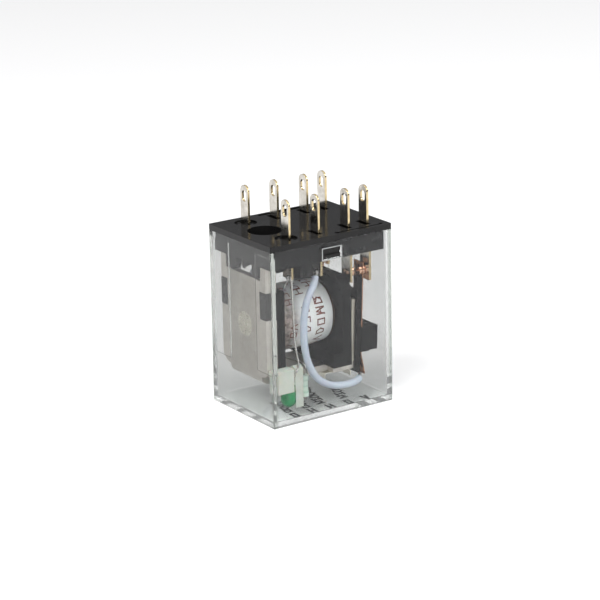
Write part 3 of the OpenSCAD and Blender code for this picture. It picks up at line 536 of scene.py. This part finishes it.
# Strokes of generic marks in a cell one unit high: each is a run of points.
MARKS = {
    "hook": [[(-0.4, 0.45), (0.25, 0.45), (0.25, -0.05), (-0.4, -0.45), (0.4, -0.45)]],
    "fork": [[(-0.4, 0.5), (0.0, -0.5), (0.4, 0.5)]],
    "loop": [[(-0.35, 0.5), (0.1, 0.45), (0.38, 0.0), (0.1, -0.45), (-0.35, -0.5), (-0.35, 0.5)]],
    "bowl": [[(0.38, 0.3), (0.1, 0.5), (-0.3, 0.32), (-0.4, 0.0), (-0.3, -0.32), (0.1, -0.5), (0.38, -0.3)]],
    "gate": [[(-0.4, 0.5), (-0.4, -0.5)], [(0.4, 0.5), (0.4, -0.5)], [(-0.4, 0), (0.4, 0)]],
    "box": [[(-0.35, 0.45), (0.35, 0.45), (0.35, -0.45), (-0.35, -0.45), (-0.35, 0.45)]],
}


STROKE_STEP = 0.2                     # millimetres between the cuts of a stroke


def draw_strokes(strokes, width, height, pen, place, spread_out):
    """Flat strips for the strokes, laid out by spread_out(u, v) from flat millimetres to a point."""
    bm = bmesh.new()
    for run in strokes:
        for (x0, y0), (x1, y1) in zip(run, run[1:]):
            a = Vector((place[0] + x0 * width, place[1] + y0 * height, 0))
            b = Vector((place[0] + x1 * width, place[1] + y1 * height, 0))
            way = (b - a).normalized()
            length = (b - a).length + pen
            parts = max(2, int(length / STROKE_STEP))
            made = bmesh.ops.create_grid(bm, x_segments=parts, y_segments=1, size=0.5)["verts"]
            turn = Matrix((way, Vector((-way.y, way.x, 0)), Vector((0, 0, 1)))).transposed().to_4x4()
            laid = Matrix.Translation((a + b) / 2) @ turn @ Matrix.Diagonal((length, pen, 1, 1))
            bmesh.ops.transform(bm, verts=made, matrix=laid)
    for v in bm.verts:
        v.co = spread_out(v.co.x, v.co.y)
    return bm


def join_into(target, bm):
    mesh = bpy.data.meshes.new("part")
    bm.to_mesh(mesh)
    bm.free()
    target.from_mesh(mesh)
    bpy.data.meshes.remove(mesh)


def print_tape():
    """Columns of marks that run round the coil, one mark below the other."""
    whole = bmesh.new()
    columns = (
        (-0.1, 1.8, 0.26, 0.95, ("hook", "gate", None, "loop", "fork", "box", None, None)),
        (-3.4, 1.65, 0.23, 0.55, ("gate", None, "box", "hook", "loop", None, None, "fork")),
        (-6.3, 1.45, 0.2, 0.3, ("loop", "hook", "gate", None, None, "fork", "box", None)),
    )
    for x, size, pen, first, names in columns:
        for i in range(22):
            if not names[i % len(names)]:
                continue
            angle = first + i * (size * 1.12) / TAPE_R

            def on_film(u, v, angle=angle, x=x):
                around = angle - u / TAPE_R
                return round_axis(x + v, around, tape_radius(x + v, around) + 0.03)

            strokes = MARKS[names[i % len(names)]]
            join_into(whole, draw_strokes(strokes, size * 0.85, size, pen, (0, 0), on_film))
    bmesh.ops.remove_doubles(whole, verts=whole.verts, dist=1e-7)
    bmesh.ops.recalc_face_normals(whole, faces=whole.faces)
    ink = new_piece("tape_print", to_mesh(whole, "tape_print"), brown_ink, "case")
    skin = ink.modifiers.new("ink_film", "SOLIDIFY")
    skin.thickness, skin.offset = 0.015 * MM, 1


print_tape()


def print_cover():
    """Rows of generic marks on the inside of the closed face."""
    whole = bmesh.new()
    z = 1.22

    def on_face(u, v):
        return Vector((u, v, z)) * MM

    def mark(name, x, y, w, h, pen=0.2):
        join_into(whole, draw_strokes(MARKS[name], w, h, pen, (x, y), on_face))

    for i, name in enumerate(("box", "gate", "gate", "box", "fork")):
        mark(name, -8.2 + 4.2 * i, -8.7, 1.3, 2.1, 0.5)
    for i, name in enumerate(("hook", "gate", "bowl", "loop", "fork", "box")):
        mark(name, 5.2 + 0.55 * i, -5.6 + 1.7 * i, 2.0, 1.3, 0.42)
        mark(name, -0.2 + 0.5 * i, -5.6 + 1.7 * i, 2.0, 1.3, 0.42)
    for i, name in enumerate(("box", "loop", "hook", "gate")):
        mark(name, -3.8 + 0.4 * i, -6.0 + 1.6 * i, 1.8, 1.2, 0.4)
        mark(name, -8.0 + 0.4 * i, -6.0 + 1.6 * i, 1.8, 1.2, 0.4)
    bmesh.ops.recalc_face_normals(whole, faces=whole.faces)
    ink = new_piece("cover_print", to_mesh(whole, "cover_print"), grey_ink, "case")
    skin = ink.modifiers.new("ink_film", "SOLIDIFY")
    skin.thickness, skin.offset = 0.01 * MM, 0


print_cover()

def window_glint_strips():
    """Thin grey strips round each snap window of the cover: a painted highlight for the light the window walls
    refract and reflect.
    """
    bm = bmesh.new()
    line, out = 0.16, 0.06
    x, low, high = WINDOW_L / 2, TOP - WINDOW_DEPTH - WINDOW_H / 2, TOP - WINDOW_DEPTH + WINDOW_H / 2
    for s in (-1, 1):
        y = s * (cad_box[1][1] * 1000 - out / 2 + 0.008)
        for x0, x1, z0, z1 in (
            (-x - line, -x, low - line, high + line), (x, x + line, low - line, high + line),
            (-x, x, low - line, low), (-x, x, high, high + line),
        ):
            made = bmesh.ops.create_cube(bm, size=MM)["verts"]
            size = Matrix.Diagonal((x1 - x0, out, z1 - z0, 1))
            middle = Vector(((x0 + x1) / 2, y, (z0 + z1) / 2)) * MM
            bmesh.ops.transform(bm, verts=made, matrix=Matrix.Translation(middle) @ size)
    new_piece("window_glint_strips", to_mesh(bm, "window_glint_strips"), rim_glint_paint, "case")


window_glint_strips()

# ---------------------------------------------------------------- solder, lamp core


def bead(bm, centre, size, seed):
    """A lumpy bead of solder."""
    made = bmesh.ops.create_icosphere(bm, subdivisions=3, radius=1.0)["verts"]
    for v in made:
        n = v.co.normalized()
        lump = 1 + 0.1 * math.sin(3.1 * n.x + seed) + 0.08 * math.sin(4.3 * n.y + 2 * seed)
        lump += 0.06 * math.sin(5.1 * n.z - seed)
        v.co = (Vector(centre) + Vector((n.x * size[0], n.y * size[1], n.z * size[2])) * lump) * MM


def solder_points():
    bm = bmesh.new()
    for s in (-1, 1):
        bead(bm, (-7.95, s * 8.0, TOP - 7.7), (0.42, 0.45, 0.75), 1.3 * s)
        bead(bm, (-8.2, s * 7.3, TOP - 7.6), (0.35, 0.5, 0.55), 2.1 * s)
        bead(bm, (-1.6, s * 7.0, TOP - 7.9), (0.5, 0.5, 0.6), 0.7 * s)
    new_piece("coil_solder", to_mesh(bm, "coil_solder"), FINISH["solder"], "case")


def lead_strands():
    """Bare ends of the lead wires, from the sleeve to the solder."""
    for s, tag in ((-1, "a"), (1, "b")):
        lines = []
        for k in range(5):
            a = 2 * math.pi * k / 5
            dy, dz = 0.2 * math.cos(a), 0.2 * math.sin(a)
            lines.append([
                (-2.6, s * 8.1 + dy, TOP - 8.3 + dz),
                (-2.2, s * 7.6 + dy * 0.8, TOP - 7.9 + dz),
                (-1.5, s * 7.0 + dy * 0.4, TOP - 7.8 + dz * 0.5),
            ])
        tube(f"lead_strands_{tag}", lines, STRAND_R, FINISH["tinned_wire"], "case", 3, 3)


def lamp_core():
    """Cup and posts set in the lamp's resin."""
    bm = bmesh.new()
    for y, r, low, high in ((-8.3, 0.42, 4.4, 6.6), (-7.2, 0.3, 4.9, 6.6)):
        made = bmesh.ops.create_cone(
            bm, cap_ends=True, segments=20, radius1=r * MM, radius2=r * 0.7 * MM, depth=(high - low) * MM,
        )["verts"]
        bmesh.ops.translate(bm, verts=made, vec=Vector((-8.9, y, (low + high) / 2)) * MM)
    bmesh.ops.recalc_face_normals(bm, faces=bm.faces)
    new_piece("lamp_core", to_mesh(bm, "lamp_core"), FINISH["spring_steel"], "case")


solder_points()
lead_strands()
lamp_core()

# ---------------------------------------------------------------- stage


def set_stage():
    bm = bmesh.new()
    bmesh.ops.create_grid(bm, x_segments=1, y_segments=1, size=3.0)
    bmesh.ops.translate(bm, verts=bm.verts, vec=(0, 0, -2e-5))
    floor = bpy.data.objects.new("floor", to_mesh(bm, "floor"))
    bpy.context.scene.collection.objects.link(floor)
    mat, tree, main = new_material("pale_floor", Roughness=0.6, Specular_IOR_Level=0.1)
    main.inputs["Base Color"].default_value = rgb(0.92, 0.92, 0.92)
    floor.data.materials.append(mat)
    world = bpy.data.worlds.new("studio")
    world.use_nodes = True
    tree = world.node_tree
    sky = tree.nodes["Background"]
    height = axis(tree, add(tree, "ShaderNodeTexCoord").outputs["Generated"], 2)
    glow = ramp(
        tree, height, (0.0, rgb(0.12, 0.12, 0.12)), (0.25, rgb(0.16, 0.16, 0.165)),
        (0.6, rgb(0.95, 0.95, 0.96)), (1.0, rgb(1, 1, 1)),
    )
    tree.links.new(glow, sky.inputs["Color"])
    sky.inputs["Strength"].default_value = 1.0
    bpy.context.scene.world = world


def softbox(name, place, target, size, power):
    data = bpy.data.lights.new(name, "AREA")
    data.shape, data.size, data.energy = "SQUARE", size, power
    light = bpy.data.objects.new(name, data)
    bpy.context.scene.collection.objects.link(light)
    way = Vector(target) - Vector(place)
    light.matrix_world = Matrix.Translation(place) @ way.to_track_quat("-Z", "Y").to_matrix().to_4x4()


set_stage()
softbox("top_left", (-0.35, -0.1, 0.45), (0, 0, 0.02), 0.3, 2.2)
softbox("right", (0.4, -0.35, 0.35), (0, 0, 0.02), 0.25, 1.0)
softbox("front", (0.02, -0.5, 0.22), (0, 0, 0.02), 0.25, 0.95)
scene = bpy.context.scene
scene.view_settings.view_transform = "Standard"
scene.cycles.max_bounces = scene.cycles.transmission_bounces = 40
scene.cycles.glossy_bounces = 24
